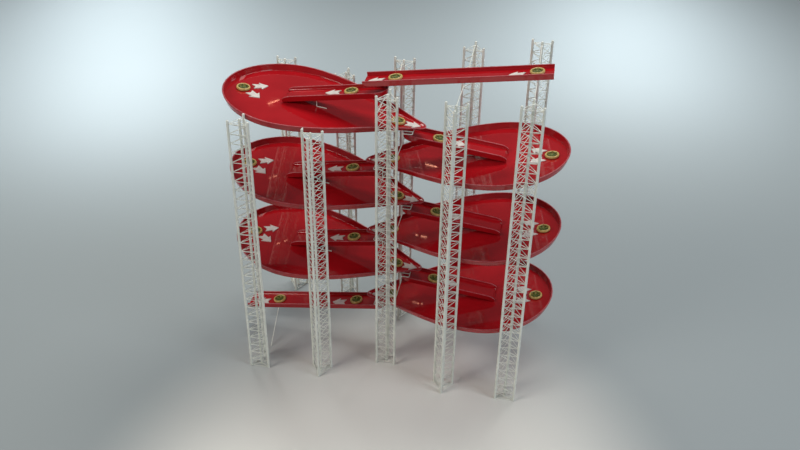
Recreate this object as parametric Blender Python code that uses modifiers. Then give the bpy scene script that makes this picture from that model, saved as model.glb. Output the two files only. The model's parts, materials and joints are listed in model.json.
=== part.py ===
"""A 1:100 presentation model of a raft water slide tower.

Six red dishes hang one under another between ten triangular lattice towers,
three on the left and three on the right. A raft starts in the top chute, runs
down a ramp into the first dish, slides back over the dish's neck on to the
next ramp, and so on down to the exit chute. All lengths are in metres.

X runs along the model, Y from front to back, Z up, and the origin is on the
floor under the middle of the model.
"""
import math

import bmesh
import bpy
from mathutils import Euler, Matrix, Vector

# Layout of the whole model
FALL = math.radians(7.7)            # every dish, ramp and chute falls at this angle
HALF_TURN = 0.0766                  # height lost from one dish to the next
DISHES = 6                          # three on each side
TOP_UNDERSIDE = 0.5650              # one step above the first dish, over the middle
SEAT_GAP = 0.0003                   # clearance where one piece rests on another

# Red trays
SHEET = 0.0015                      # thickness of the moulded sheet
DISH_RADIUS = 0.1210
DISH_CENTRE = -0.1928               # along the dish, from the middle of the model
DISH_TIP = 0.0550                   # end of the neck
DISH_TIP_RADIUS = 0.0140
DISH_ARC_END = math.radians(84.0)   # where the round part turns into the side
DISH_TIP_ARC = math.radians(62.0)
DISH_DEPTH = 0.0129
DISH_LEAN = 0.0040                  # the wall leans out this much over its height
DISH_COVE = 0.0024                  # rounding between wall and floor
NECK_LOW = 0.33                     # wall height at the tip, as a share of the full one
NECK_LOW_FROM = -0.0350

TROUGH_HALF = 0.0220                # half the width of ramps and chutes at the rim
TROUGH_DEPTH = 0.0115
TROUGH_FLOOR = 0.0050               # thickness of the floor of ramps and chutes
TROUGH_LEAN = 0.0015
TROUGH_COVE = 0.0016
RAMP_START = 0.0120                 # from the middle, measured down the slope
RAMP_END = 0.2020                   # where the ramp touches the dish floor
RAMP_TAPER = 0.0170                 # the side walls run out over this length
RAMP_END_WALL = 0.12                # what is left of the wall at the ramp's end, as a share
TOP_CHUTE_LIFT = 0.0017             # the top chute hangs this much above its step
TOP_CHUTE_HEAD = -0.2690
TOP_CHUTE_END = 0.0550
EXIT_CHUTE_END = 0.3030

# Lattice towers
TOWER_PITCH = 0.1200
TOWER_SIDE = 0.0350
TOWER_HEIGHTS = (0.5350, 0.5200, 0.5770, 0.5930, 0.6085)
END_TOWER_APEX = 0.11185            # inner post of towers 1 and 5, from the middle plane
INNER_FACE = 0.1178                 # inner posts of towers 2 and 4
MIDDLE_TOWER_APEX = 0.0551          # inner post of tower 3
POST_RADIUS = 0.0020
POST_SIDES = 6
KNOB_RADIUS = 0.0025
KNOB_HEIGHT = 0.0042
KNOB_BELLY = 0.45                   # height of the knob's widest ring, as a share
KNOB_CROWN = 0.50                   # radius of its flat top, as a share
LACE_RADIUS = 0.0009
LACE_SIDES = 3
LACE_PANELS = 6
LACE_FOOT = 0.0080                  # lowest ring above the floor
LACE_HEAD = 0.0120                  # highest ring below the top
LACE_BITE = 0.0011                  # a lace ends this far from a post's axis
LACE_STEP = 0.0026                  # laces that meet on a post end this far apart
LUG_HALF = 0.0012                   # half the width of the lugs that hold dish rims
FLAT_BAR = 4                        # sides of a lug or a short wire

# Wire work
WIRE = 0.0008                       # radius of the wires that carry trays
WIRE_SEAT = 0.00096                 # from a bent wire's middle to its highest corner
CRADLE_REACH = 0.0345
CRADLE_HALF = 0.0300
CRADLE_BRACKET = 0.0110             # from a loop's end bar to the bar beside it
TRESTLE_AT = 0.2370
TRESTLE_SPREAD = 0.0810

# Rafts
RAFT_RADIUS = 0.0125
RAFT_HEIGHT = 0.0050
RAFT_FLOOR = 0.0020
RAFT_RING = 0.0042                  # width of the ring at its floor
RAFT_CREST = 0.0018                 # from the outer edge in to the top of the ring
RAFT_FOOT = 0.0015                  # from the outer edge in to the underside
RAFT_BELLY = 0.45                   # height of the widest ring, as a share
RAFT_SIDES = 12
RAFT_ON_DISH = -0.2810
RAFT_ON_NECK = 0.0040
RAFT_ON_RAMP = 0.0795
RAFTS_ON_TOP_CHUTE = (-0.2415, 0.0005)
RAFTS_ON_EXIT_CHUTE = (0.0770, 0.2405)

# Fineness of the curves
ARC_STEPS = 9                       # round end of a dish
SIDE_STEPS = 8                      # side of a dish
TIP_STEPS = 3                       # half of a dish's tip
START_STEPS = 4                     # half of a ramp's round start
SHARPEST_MITRE = 0.5                # limits how far a corner moves when a path is inset
SHARP_EDGE = math.radians(35.0)

RED = (0.42, 0.012, 0.016)
OFF_WHITE = (0.62, 0.66, 0.58)
YELLOW = (0.60, 0.46, 0.08)


def clear_scene():
    for item in list(bpy.data.objects):
        bpy.data.objects.remove(item, do_unlink=True)


def new_collection(name):
    group = bpy.data.collections.new(name)
    bpy.context.scene.collection.children.link(group)
    return group


def new_material(name, colour, roughness, metallic=0.0):
    material = bpy.data.materials.new(name)
    material.use_nodes = True
    shader = material.node_tree.nodes["Principled BSDF"]
    shader.inputs["Base Color"].default_value = (*colour, 1.0)
    shader.inputs["Roughness"].default_value = roughness
    shader.inputs["Metallic"].default_value = metallic
    return material


def add_object(name, bm, group, material, place=Matrix()):
    """Turn a bmesh into a named object with its material."""
    bmesh.ops.recalc_face_normals(bm, faces=bm.faces)
    mesh = bpy.data.meshes.new(name)
    bm.to_mesh(mesh)
    bm.free()
    mesh.shade_smooth()
    mesh.set_sharp_from_angle(angle=SHARP_EDGE)
    item = bpy.data.objects.new(name, mesh)
    item.matrix_world = place
    item.data.materials.append(material)
    group.objects.link(item)
    return item


def slope_frame(height, heading):
    """Axes of a tray: local X runs down the slope, origin over the middle of the model."""
    return Matrix.Translation((0, 0, height)) @ Euler((0, FALL, heading)).to_matrix().to_4x4()


def underside(level):
    """Height over the middle of dish number level, counted from 1 at the top."""
    return TOP_UNDERSIDE - level * HALF_TURN


def ramp_underside(level):
    """Height over the middle of the ramp that ends on the floor of dish number level."""
    rise = 2 * RAMP_END * math.sin(FALL)
    return underside(level) + rise + (SHEET + SEAT_GAP) / math.cos(FALL)


def chute_underside():
    """Height over the middle of the top chute."""
    return TOP_UNDERSIDE + TOP_CHUTE_LIFT


def dish_heading(level):
    """Odd dishes are on the left and fall to the right."""
    return 0.0 if level % 2 else math.pi


def ramp_heading(level):
    return math.pi if level % 2 else 0.0


def side_name(level):
    side = "left" if level % 2 else "right"
    return f"{side}_{(level + 1) // 2}"


def bezier(start, start_pull, end_pull, end, share):
    rest = 1 - share
    return (rest ** 3 * start + 3 * rest ** 2 * share * start_pull
            + 3 * rest * share ** 2 * end_pull + share ** 3 * end)


def dish_half_outline():
    """One side of a dish's rim in plan, from its outer end to the tip of its neck."""
    points = []
    for step in range(ARC_STEPS + 1):
        angle = math.pi + (DISH_ARC_END - math.pi) * step / ARC_STEPS
        points.append(Vector((DISH_CENTRE + DISH_RADIUS * math.cos(angle),
                              DISH_RADIUS * math.sin(angle))))
    tip_centre = DISH_TIP - DISH_TIP_RADIUS
    tip_start = Vector((tip_centre + DISH_TIP_RADIUS * math.cos(DISH_TIP_ARC),
                        DISH_TIP_RADIUS * math.sin(DISH_TIP_ARC)))
    start = points[-1]
    pull = (tip_start - start).length / 3
    start_pull = start + pull * Vector((math.sin(DISH_ARC_END), -math.cos(DISH_ARC_END)))
    end_pull = tip_start - pull * Vector((math.sin(DISH_TIP_ARC), -math.cos(DISH_TIP_ARC)))
    for step in range(1, SIDE_STEPS + 1):
        points.append(bezier(start, start_pull, end_pull, tip_start, step / SIDE_STEPS))
    for step in range(1, TIP_STEPS + 1):
        angle = DISH_TIP_ARC * (1 - step / TIP_STEPS)
        points.append(Vector((tip_centre + DISH_TIP_RADIUS * math.cos(angle),
                              DISH_TIP_RADIUS * math.sin(angle))))
    return points


def dish_outline():
    half = dish_half_outline()
    return half + [Vector((point.x, -point.y)) for point in reversed(half[1:-1])]


def inset(path, distance, closed):
    """Move each point of a plan path to its right-hand side, along the path's normal."""
    count = len(path)
    moved = []
    for index, point in enumerate(path):
        if closed:
            before, after = path[index - 1], path[(index + 1) % count]
        else:
            before, after = path[max(index - 1, 0)], path[min(index + 1, count - 1)]
        into = (point - before).normalized() if point != before else Vector((0, 0))
        out = (after - point).normalized() if point != after else Vector((0, 0))
        along = (into + out).normalized()
        bend = max(along.dot(out) if out.length else along.dot(into), SHARPEST_MITRE)
        moved.append(point + distance / bend * Vector((along.y, -along.x)))
    return moved


def dish_shell(share):
    """An open sheet: a floor with a coved wall round it.

    share gives the wall's height at a point of the rim, from 0 to 1.
    """
    path = dish_outline()
    bm = bmesh.new()
    profile = ((0.0, DISH_DEPTH), (DISH_LEAN, DISH_COVE), (DISH_LEAN + DISH_COVE, 0.0))
    rows = []
    for distance, height in profile:
        places = inset(path, distance, True)
        rows.append([bm.verts.new((place.x, place.y, height * share(point)))
                     for place, point in zip(places, path)])
    for upper, lower in zip(rows, rows[1:]):
        for index in range(len(path)):
            after = (index + 1) % len(path)
            bm.faces.new((upper[index], upper[after], lower[after], lower[index]))
    bm.faces.new(rows[-1])
    return bm


def thicken(item):
    """Give a sheet its thickness on the side where rafts run."""
    solid = item.modifiers.new("sheet", "SOLIDIFY")
    solid.thickness = SHEET
    solid.offset = -1.0
    solid.use_even_offset = True
    for face in item.data.polygons:
        if len(face.vertices) > 4 and face.normal.z > 0:
            item.data.flip_normals()
            break


def add_dish(level, group, material):
    """A teardrop dish, whose wall runs lower round the tip of its neck."""
    def share(point):
        along = (point.x - NECK_LOW_FROM) / (DISH_TIP - NECK_LOW_FROM)
        return 1 - (1 - NECK_LOW) * min(max(along, 0.0), 1.0)

    bm = dish_shell(share)
    place = slope_frame(underside(level), dish_heading(level))
    thicken(add_object("dish_" + side_name(level), bm, group, material, place))


def trough_path(start, end, taper):
    """Plan path of a trough's wall: up one side, round the start and down the other side."""
    side = [Vector((end, TROUGH_HALF))]
    if taper:
        side.append(Vector((end - taper, TROUGH_HALF)))
    for step in range(START_STEPS):
        angle = math.pi / 2 * (1 + step / START_STEPS)
        side.append(Vector((start + TROUGH_HALF * (1 + math.cos(angle)),
                            TROUGH_HALF * math.sin(angle))))
    mirrored = [Vector((point.x, -point.y)) for point in side]
    return mirrored + [Vector((start, 0.0))] + list(reversed(side))


def trough_section():
    """A trough's wall from its foot up the outside, over the rim and down to the floor.

    Each point has its distance in from the rim and its height.
    """
    return ((TROUGH_LEAN + TROUGH_COVE, 0.0), (TROUGH_LEAN, TROUGH_COVE), (0.0, TROUGH_DEPTH),
            (SHEET, TROUGH_DEPTH), (SHEET + TROUGH_LEAN, TROUGH_FLOOR + TROUGH_COVE),
            (SHEET + TROUGH_LEAN + TROUGH_COVE, TROUGH_FLOOR))


def round_trough(start, end, taper=0.0):
    """A ramp or chute with a round start: thin walls on a thick floor.

    The walls may run out at its end, down to the floor.
    """
    def height(point, full):
        share = (end - point.x) / taper if taper else 1.0
        wall = min(max(share, RAMP_END_WALL), 1.0) * max(full - TROUGH_FLOOR, 0.0)
        return min(full, TROUGH_FLOOR) + wall

    path = trough_path(start, end, taper)
    bm = bmesh.new()
    rows = []
    for distance, full in trough_section():
        places = inset(path, distance, False)
        rows.append([bm.verts.new((place.x, place.y, height(point, full)))
                     for place, point in zip(places, path)])
    for lower, upper in zip(rows, rows[1:]):
        for index in range(len(path) - 1):
            bm.faces.new((lower[index], lower[index + 1], upper[index + 1], upper[index]))
    bm.faces.new(rows[0])
    bm.faces.new(rows[-1])
    first, last = [row[0] for row in rows], [row[-1] for row in rows]
    bm.faces.new(first)
    bm.faces.new(last)
    bm.faces.new((first[0], last[0], last[-1], first[-1]))
    return bm


def open_trough(start, end):
    """A chute that is open at both ends: a U section drawn out along X."""
    bm = bmesh.new()
    half = [(TROUGH_HALF - distance, height) for distance, height in trough_section()]
    section = half + [(-y, z) for y, z in reversed(half)]
    face = bm.faces.new([bm.verts.new((start, y, z)) for y, z in section])
    drawn = bmesh.ops.extrude_face_region(bm, geom=[face], use_keep_orig=True)["geom"]
    moved = [part for part in drawn if isinstance(part, bmesh.types.BMVert)]
    bmesh.ops.translate(bm, verts=moved, vec=(end - start, 0, 0))
    return bm


def add_bar(bm, start, end, radius, sides):
    """A straight bar with flat ends between two points."""
    start, end = Vector(start), Vector(end)
    way = end - start
    turn = way.to_track_quat("Z", "Y").to_matrix().to_4x4()
    bmesh.ops.create_cone(bm, cap_ends=True, segments=sides, radius1=radius, radius2=radius,
                          depth=way.length, matrix=Matrix.Translation((start + end) / 2) @ turn)


def add_turned(bm, section, sides, centre=(0.0, 0.0)):
    """A turned shape with flat facets square to X: its section starts and ends on the axis."""
    first = math.pi / sides
    corners = [bm.verts.new((centre[0] + radius * math.cos(first),
                             centre[1] + radius * math.sin(first), height))
               for radius, height in section]
    edges = [bm.edges.new(pair) for pair in zip(corners, corners[1:])]
    bmesh.ops.spin(bm, geom=corners + edges, cent=(*centre, 0), axis=(0, 0, 1),
                   angle=math.tau, steps=sides, use_merge=True)
    bmesh.ops.remove_doubles(bm, verts=bm.verts, dist=1e-6)


def add_post(bm, centre, height):
    """A tower post with a knob on its top."""
    neck = height - KNOB_HEIGHT
    section = ((0.0, 0.0), (POST_RADIUS, 0.0), (POST_RADIUS, neck),
               (KNOB_RADIUS, neck + KNOB_HEIGHT * KNOB_BELLY),
               (KNOB_RADIUS * KNOB_CROWN, height), (0.0, height))
    add_turned(bm, section, POST_SIDES, centre)


def tower_corners():
    """The three outer posts in plan, round the centre post, with the apex at +Y."""
    height = TOWER_SIDE * math.sqrt(3) / 2
    return (Vector((0, height * 2 / 3)), Vector((-TOWER_SIDE / 2, -height / 3)),
            Vector((TOWER_SIDE / 2, -height / 3)))


def add_lace(bm, first, second, low, high):
    """A lace bar between two posts, its ends buried in them."""
    start = Vector((*first, low))
    end = Vector((*second, high))
    bite = (end - start).normalized() * LACE_BITE
    add_bar(bm, start + bite, end - bite, LACE_RADIUS, LACE_SIDES)


def tower_lacing(height, row):
    """Zigzag lacing on the three faces, end rings, and spokes to the centre post.

    The back row's lacing is the mirror image of the front row's.
    """
    bm = bmesh.new()
    corners = tower_corners()
    foot, head = LACE_FOOT, height - LACE_HEAD
    panel = (head - foot) / LACE_PANELS
    for face in range(3):
        first, second = corners[face], corners[(face + 1) % 3]
        up = face * LACE_STEP
        add_lace(bm, first, second, foot - up, foot - up)
        add_lace(bm, first, second, head + up, head + up)
        for step in range(LACE_PANELS):
            low, high = foot + step * panel, foot + (step + 1) * panel
            near, far = (first, second) if (step + face) % 2 else (second, first)
            add_lace(bm, near, far, low + LACE_STEP, high - LACE_STEP)
        for level in (foot + 2 * LACE_STEP + up, head - 2 * LACE_STEP - up):
            add_lace(bm, Vector((0, 0)), first, level, level)
    bmesh.ops.scale(bm, verts=bm.verts, vec=(-row, 1, 1))
    return bm


def dish_half_width(along):
    """Half width of a dish's rim at a place along it."""
    half = dish_half_outline()
    for before, after in zip(half, half[1:]):
        if before.x <= along <= after.x:
            share = (along - before.x) / (after.x - before.x)
            return before.y + share * (after.y - before.y)
    return 0.0


def tower_lugs(number, row):
    """Short lugs that reach from towers 2 and 4 to the walls of the dishes beside them.

    They are given in the model's frame, as start and end points.
    """
    if number not in (2, 4):
        return []
    sign = 1 if number == 4 else -1
    reach = TOWER_PITCH + TOWER_SIDE / 2
    along = -(reach + DISH_DEPTH * math.sin(FALL)) / math.cos(FALL)
    rim = dish_half_width(along - LUG_HALF)
    rim_rise = DISH_DEPTH * math.cos(FALL) - along * math.sin(FALL)
    lugs = []
    for level in range(1, DISHES + 1):
        if (level % 2 == 1) == (number == 2):
            middle = underside(level) + rim_rise - LUG_HALF
            lugs.append(((sign * reach, row * INNER_FACE, middle),
                         (sign * reach, row * (rim + SEAT_GAP), middle)))
    return lugs


def add_tower(number, row, group, cutters, material):
    """One lattice tower. row is -1 in front and +1 at the back."""
    height = TOWER_HEIGHTS[number - 1]
    offset = TOWER_SIDE * math.sqrt(3) / 2
    if number == 3:
        depth, apex_in = MIDDLE_TOWER_APEX + offset * 2 / 3, True
    elif number in (1, 5):
        depth, apex_in = END_TOWER_APEX + offset * 2 / 3, True
    else:
        depth, apex_in = INNER_FACE + offset / 3, False
    apex_up = apex_in == (row < 0)
    place = Matrix.Translation(((number - 3) * TOWER_PITCH, row * depth, 0))
    place = place @ Matrix.Rotation(0.0 if apex_up else math.pi, 4, "Z")
    name = f"tower_{'front' if row < 0 else 'back'}_{number}"

    posts = bmesh.new()
    for corner in (*tower_corners(), Vector((0, 0))):
        add_post(posts, corner, height)
    tower = add_object(name, posts, group, material, place)

    lacing = tower_lacing(height, row)
    for start, end in tower_lugs(number, row):
        back = place.inverted()
        add_bar(lacing, back @ Vector(start), back @ Vector(end), LUG_HALF, FLAT_BAR)
    cutter = add_object(name + "_lacing", lacing, cutters, material, place)
    join(tower, cutter)


def join(item, cutter):
    cutter.hide_render = True
    cutter.display_type = "WIRE"
    union = item.modifiers.new("join", "BOOLEAN")
    union.operation = "UNION"
    union.solver = "EXACT"
    union.use_self = True
    union.object = cutter


def add_cradle(level, group, cutters, material):
    """Wire frame between the middle towers.

    Its lower bar carries the start of a ramp, and its upper loop the dish above. The
    first ramp has no dish above it, so there the bar stands alone.
    """
    sign = -1 if level % 2 == 0 else 1
    post_x = sign * TOWER_SIDE / 2
    reach_x = sign * CRADLE_REACH
    slope = math.tan(FALL)
    low = ramp_underside(level + 1) - abs(post_x) * slope - SEAT_GAP - WIRE
    high = underside(level) - CRADLE_REACH * slope - SEAT_GAP - WIRE
    face = MIDDLE_TOWER_APEX + TOWER_SIDE * math.sqrt(3) / 2
    ends = face - POST_RADIUS - SEAT_GAP

    bars = bmesh.new()
    add_bar(bars, (post_x, -ends, low), (post_x, ends, low), WIRE, FLAT_BAR)
    name = f"cradle_{level + 1}"
    cradle = add_object(name, bars, group, material)
    if level == 0:
        return
    loop = bmesh.new()
    for y in (-CRADLE_HALF, CRADLE_HALF):
        add_bar(loop, (post_x, y, low), (post_x, y, high + WIRE / 2), WIRE, FLAT_BAR)
        add_bar(loop, (post_x, y, high), (reach_x, y, high), WIRE, FLAT_BAR)
    for y in (CRADLE_BRACKET - CRADLE_HALF, CRADLE_HALF - CRADLE_BRACKET):
        add_bar(loop, (post_x, y, high), (reach_x, y, high), WIRE, FLAT_BAR)
    for x in (post_x, reach_x):
        add_bar(loop, (x, -CRADLE_HALF - WIRE, high), (x, CRADLE_HALF + WIRE, high), WIRE,
                FLAT_BAR)
    join(cradle, add_object(name + "_loop", loop, cutters, material))


def add_wire(name, points, group, material):
    """A bent wire with filled ends."""
    curve = bpy.data.curves.new(name, "CURVE")
    curve.dimensions = "3D"
    curve.bevel_depth = WIRE
    curve.bevel_resolution = 1
    curve.use_fill_caps = True
    spline = curve.splines.new("POLY")
    spline.points.add(len(points) - 1)
    for knot, point in zip(spline.points, points):
        knot.co = (*point, 1.0)
    curve.materials.append(material)
    item = bpy.data.objects.new(name, curve)
    group.objects.link(item)


def add_hanger(number, group, material):
    """A wire from a front tower to its back twin that carries the top chute."""
    x = (number - 3) * TOWER_PITCH
    seat = chute_underside() + x * math.tan(FALL) - SEAT_GAP - WIRE_SEAT
    top = TOWER_HEIGHTS[number - 1] - 2 * WIRE
    post = {3: MIDDLE_TOWER_APEX, 4: INNER_FACE + TOWER_SIDE * math.sqrt(3) / 6,
            5: END_TOWER_APEX}[number]
    reach = post - KNOB_RADIUS - SEAT_GAP
    points = ((x, -reach, top), (x, -TROUGH_HALF, seat), (x, TROUGH_HALF, seat),
              (x, reach, top))
    add_wire(f"chute_hanger_{number}", points, group, material)


def add_trestle(group, material):
    """Splayed wire legs under the low end of the exit chute."""
    seat = ramp_underside(DISHES + 1) - TRESTLE_AT * math.tan(FALL) - SEAT_GAP - WIRE_SEAT
    x = -TRESTLE_AT
    half = TROUGH_HALF - TROUGH_LEAN - TROUGH_COVE
    points = ((x, -TRESTLE_SPREAD, WIRE), (x, -half, seat), (x, half, seat),
              (x, TRESTLE_SPREAD, WIRE))
    add_wire("exit_trestle", points, group, material)


def raft_mesh(material):
    """A round raft: a fat ring with a floor, turned from its section."""
    bm = bmesh.new()
    section = ((0.0, RAFT_FLOOR), (RAFT_RADIUS - RAFT_RING, RAFT_FLOOR),
               (RAFT_RADIUS - RAFT_CREST, RAFT_HEIGHT), (RAFT_RADIUS, RAFT_HEIGHT * RAFT_BELLY),
               (RAFT_RADIUS - RAFT_FOOT, 0.0), (0.0, 0.0))
    add_turned(bm, section, RAFT_SIDES)
    bmesh.ops.recalc_face_normals(bm, faces=bm.faces)
    mesh = bpy.data.meshes.new("raft")
    bm.to_mesh(mesh)
    bm.free()
    mesh.shade_smooth()
    mesh.set_sharp_from_angle(angle=SHARP_EDGE)
    mesh.materials.append(material)
    return mesh


def add_raft(name, mesh, frame, along, floor, group):
    """A raft lying on the floor of a tray, at a place down its slope."""
    raft = bpy.data.objects.new(name, mesh)
    raft.matrix_world = frame @ Matrix.Translation((along, 0, floor + SEAT_GAP))
    group.objects.link(raft)


def add_rafts(group, material):
    mesh = raft_mesh(material)
    for level in range(1, DISHES + 1):
        side = side_name(level)
        dish = slope_frame(underside(level), dish_heading(level))
        ramp = slope_frame(ramp_underside(level), ramp_heading(level))
        add_raft(f"raft_dish_{side}", mesh, dish, RAFT_ON_DISH, SHEET, group)
        add_raft(f"raft_neck_{side}", mesh, dish, RAFT_ON_NECK, SHEET, group)
        add_raft(f"raft_ramp_{side}", mesh, ramp, RAFT_ON_RAMP, TROUGH_FLOOR, group)
    top = slope_frame(chute_underside(), math.pi)
    for number, along in enumerate(RAFTS_ON_TOP_CHUTE, 1):
        add_raft(f"raft_start_{number}", mesh, top, along, TROUGH_FLOOR, group)
    bottom = slope_frame(ramp_underside(DISHES + 1), math.pi)
    for number, along in enumerate(RAFTS_ON_EXIT_CHUTE, 1):
        add_raft(f"raft_exit_{number}", mesh, bottom, along, TROUGH_FLOOR, group)


def build():
    clear_scene()
    group = new_collection("water_slide_tower")
    cutters = new_collection("cutters")
    red = new_material("red_acrylic", RED, 0.12)
    white = new_material("white_enamel", OFF_WHITE, 0.45)
    yellow = new_material("raft_vinyl", YELLOW, 0.5)

    for row in (-1, 1):
        for number in range(1, len(TOWER_HEIGHTS) + 1):
            add_tower(number, row, group, cutters, white)
    for level in range(1, DISHES + 1):
        add_dish(level, group, red)
        add_object("ramp_" + side_name(level), round_trough(RAMP_START, RAMP_END, RAMP_TAPER),
                   group, red, slope_frame(ramp_underside(level), ramp_heading(level)))
    add_object("top_chute", open_trough(TOP_CHUTE_HEAD, TOP_CHUTE_END), group, red,
               slope_frame(chute_underside(), math.pi))
    add_object("exit_chute", round_trough(RAMP_START, EXIT_CHUTE_END), group, red,
               slope_frame(ramp_underside(DISHES + 1), math.pi))
    for level in range(DISHES + 1):
        add_cradle(level, group, cutters, white)
    for number in (3, 4, 5):
        add_hanger(number, group, white)
    add_trestle(group, white)
    add_rafts(group, yellow)


build()
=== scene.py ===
# %% [markdown]
# # A presentation model of a raft water slide
#
# The object is a model maker's 1:100 model, about 0.6 m long. Six glossy red dishes hang one
# under another between ten white lattice towers. Small yellow rafts lie on the red floors, and
# white arrows show which way they slide. The construction model gives every piece its place;
# this script gives each piece its fine shape and its finish.
#
# Everything is in metres. X runs along the model, Y from front to back, and Z up.

# %% Load the construction model
import json
import math

import bmesh
import bpy
from mathutils import Euler, Matrix, Vector

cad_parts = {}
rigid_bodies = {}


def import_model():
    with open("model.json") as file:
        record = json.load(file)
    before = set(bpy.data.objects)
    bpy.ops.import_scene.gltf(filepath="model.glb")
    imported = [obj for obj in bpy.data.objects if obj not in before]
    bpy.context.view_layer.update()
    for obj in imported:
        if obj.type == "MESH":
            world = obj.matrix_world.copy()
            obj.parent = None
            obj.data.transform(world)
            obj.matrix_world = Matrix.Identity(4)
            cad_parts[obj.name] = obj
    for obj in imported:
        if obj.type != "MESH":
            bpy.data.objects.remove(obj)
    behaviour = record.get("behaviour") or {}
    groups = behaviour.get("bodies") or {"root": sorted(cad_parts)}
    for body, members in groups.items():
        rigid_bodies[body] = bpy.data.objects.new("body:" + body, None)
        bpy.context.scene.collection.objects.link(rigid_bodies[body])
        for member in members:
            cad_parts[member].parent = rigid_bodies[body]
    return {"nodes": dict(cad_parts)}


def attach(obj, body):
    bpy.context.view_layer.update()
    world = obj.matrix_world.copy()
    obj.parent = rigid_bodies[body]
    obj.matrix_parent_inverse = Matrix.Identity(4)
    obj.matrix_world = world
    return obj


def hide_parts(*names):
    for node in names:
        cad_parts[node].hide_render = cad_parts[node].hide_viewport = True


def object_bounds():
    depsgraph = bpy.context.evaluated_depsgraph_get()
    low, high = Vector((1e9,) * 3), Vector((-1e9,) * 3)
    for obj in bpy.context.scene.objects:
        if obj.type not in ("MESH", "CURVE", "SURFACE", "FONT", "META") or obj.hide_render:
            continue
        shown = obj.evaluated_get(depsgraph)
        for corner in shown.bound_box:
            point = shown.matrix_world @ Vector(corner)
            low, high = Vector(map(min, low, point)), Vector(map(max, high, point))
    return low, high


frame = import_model()
cad_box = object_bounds()
cad_size = [round(side, 4) for side in cad_box[1] - cad_box[0]]
print("construction model:", len(frame["nodes"]), "nodes,", cad_size)

# %% [markdown]
# ## The plan of the slide
#
# A raft falls the same small angle on every tray. A tray is described in its own frame: its
# local X runs down the slope and its origin is over the middle of the model. So one drawing of
# a dish serves all six, turned round for the right side and set one step lower each time.

# %% Driving sizes and the sloping frame of a tray
MM = 0.001
FALL = math.radians(7.7)
HALF_TURN = 76.6 * MM
TOP_UNDERSIDE = 565.0 * MM
TOP_CHUTE_LIFT = 1.7 * MM
DISHES = 6
SHEET = 1.5 * MM
TROUGH_FLOOR = 5.0 * MM
SEAT_GAP = 0.3 * MM
RAMP_END = 202.0 * MM


def slope_frame(height, heading):
    """Axes of a tray whose local X runs downhill, with its underside at a height."""
    turn = Euler((0, FALL, heading)).to_matrix().to_4x4()
    return Matrix.Translation((0, 0, height)) @ turn


def underside(level):
    """Height over the middle of dish number level, counted from 1 at the top."""
    return TOP_UNDERSIDE - level * HALF_TURN


def ramp_underside(level):
    """Height over the middle of the ramp that ends in dish number level."""
    rise = 2 * RAMP_END * math.sin(FALL)
    return underside(level) + rise + (SHEET + SEAT_GAP) / math.cos(FALL)


def dish_frame(level):
    """Axes of dish number level. Odd dishes are on the left."""
    return slope_frame(underside(level), 0.0 if level % 2 else math.pi)


def ramp_frame(level):
    """Axes of the ramp that ends in dish number level."""
    return slope_frame(ramp_underside(level), math.pi if level % 2 else 0.0)


def chute_frame():
    """The top chute falls to the left, like an even dish."""
    return slope_frame(TOP_UNDERSIDE + TOP_CHUTE_LIFT, math.pi)


def side_name(level):
    """Side and number of a dish, such as left_2."""
    side = "left" if level % 2 else "right"
    return f"{side}_{(level + 1) // 2}"


print("dishes from", [round(underside(level), 3) for level in range(1, DISHES + 1)])

# %% [markdown]
# ## Two small helpers for materials
#
# Colours are picked as sRGB hex values, the way a paint chart or a picture gives them, and
# shaders work in linear light, so one function turns one into the other. A second function adds
# a node, sets its values and links its inputs, which keeps each material readable.

# %% Colour and node helpers
def linear(hex_colour):
    """Linear red, green, blue and alpha of an sRGB hex colour."""
    channels = [int(hex_colour[at:at + 2], 16) / 255 for at in (1, 3, 5)]
    return (*[c / 12.92 if c <= 0.04045 else ((c + 0.055) / 1.055) ** 2.4
              for c in channels], 1.0)


def add_node(tree, kind, settings=(), links=()):
    """One shader node. settings holds values of its options or sockets, links their sources."""
    node = tree.nodes.new("ShaderNode" + kind)
    for name, value in dict(settings).items():
        if name in node.inputs:
            node.inputs[name].default_value = value
        else:
            setattr(node, name, value)
    for name, source in dict(links).items():
        tree.links.new(source, node.inputs[name])
    return node


def new_material(name):
    """An empty material and its shader, ready for nodes."""
    material = bpy.data.materials.new(name)
    material.use_nodes = True
    tree = material.node_tree
    return material, tree, tree.nodes["Principled BSDF"]


def mottle(tree, size, detail=2.0, roughness=0.5):
    """A noise whose blotches are about size metres across, on the object's own coordinates."""
    place = add_node(tree, "TexCoord")
    return add_node(tree, "TexNoise", {"Scale": 1 / size, "Detail": detail, "Roughness": roughness},
                    {"Vector": place.outputs["Object"]}).outputs["Fac"]


def between(tree, value, low, high):
    """Spread the middle of a noise over a range of numbers."""
    return add_node(tree, "MapRange", {"interpolation_type": "SMOOTHSTEP", "From Min": 0.3,
                                       "From Max": 0.7, "To Min": low, "To Max": high},
                    {"Value": value}).outputs["Result"]


def blend_colours(tree, value, first, second):
    """Mix two hex colours by a noise."""
    share = between(tree, value, 0.0, 1.0)
    mix = add_node(tree, "Mix", {"data_type": "RGBA"})
    tree.links.new(share, mix.inputs["Factor"])
    colours = [socket for socket in mix.inputs if socket.type == "RGBA"]
    colours[0].default_value = linear(first)
    colours[1].default_value = linear(second)
    return next(socket for socket in mix.outputs if socket.type == "RGBA")


print("middle grey in linear light:", [round(c, 3) for c in linear("#808080")])
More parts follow.
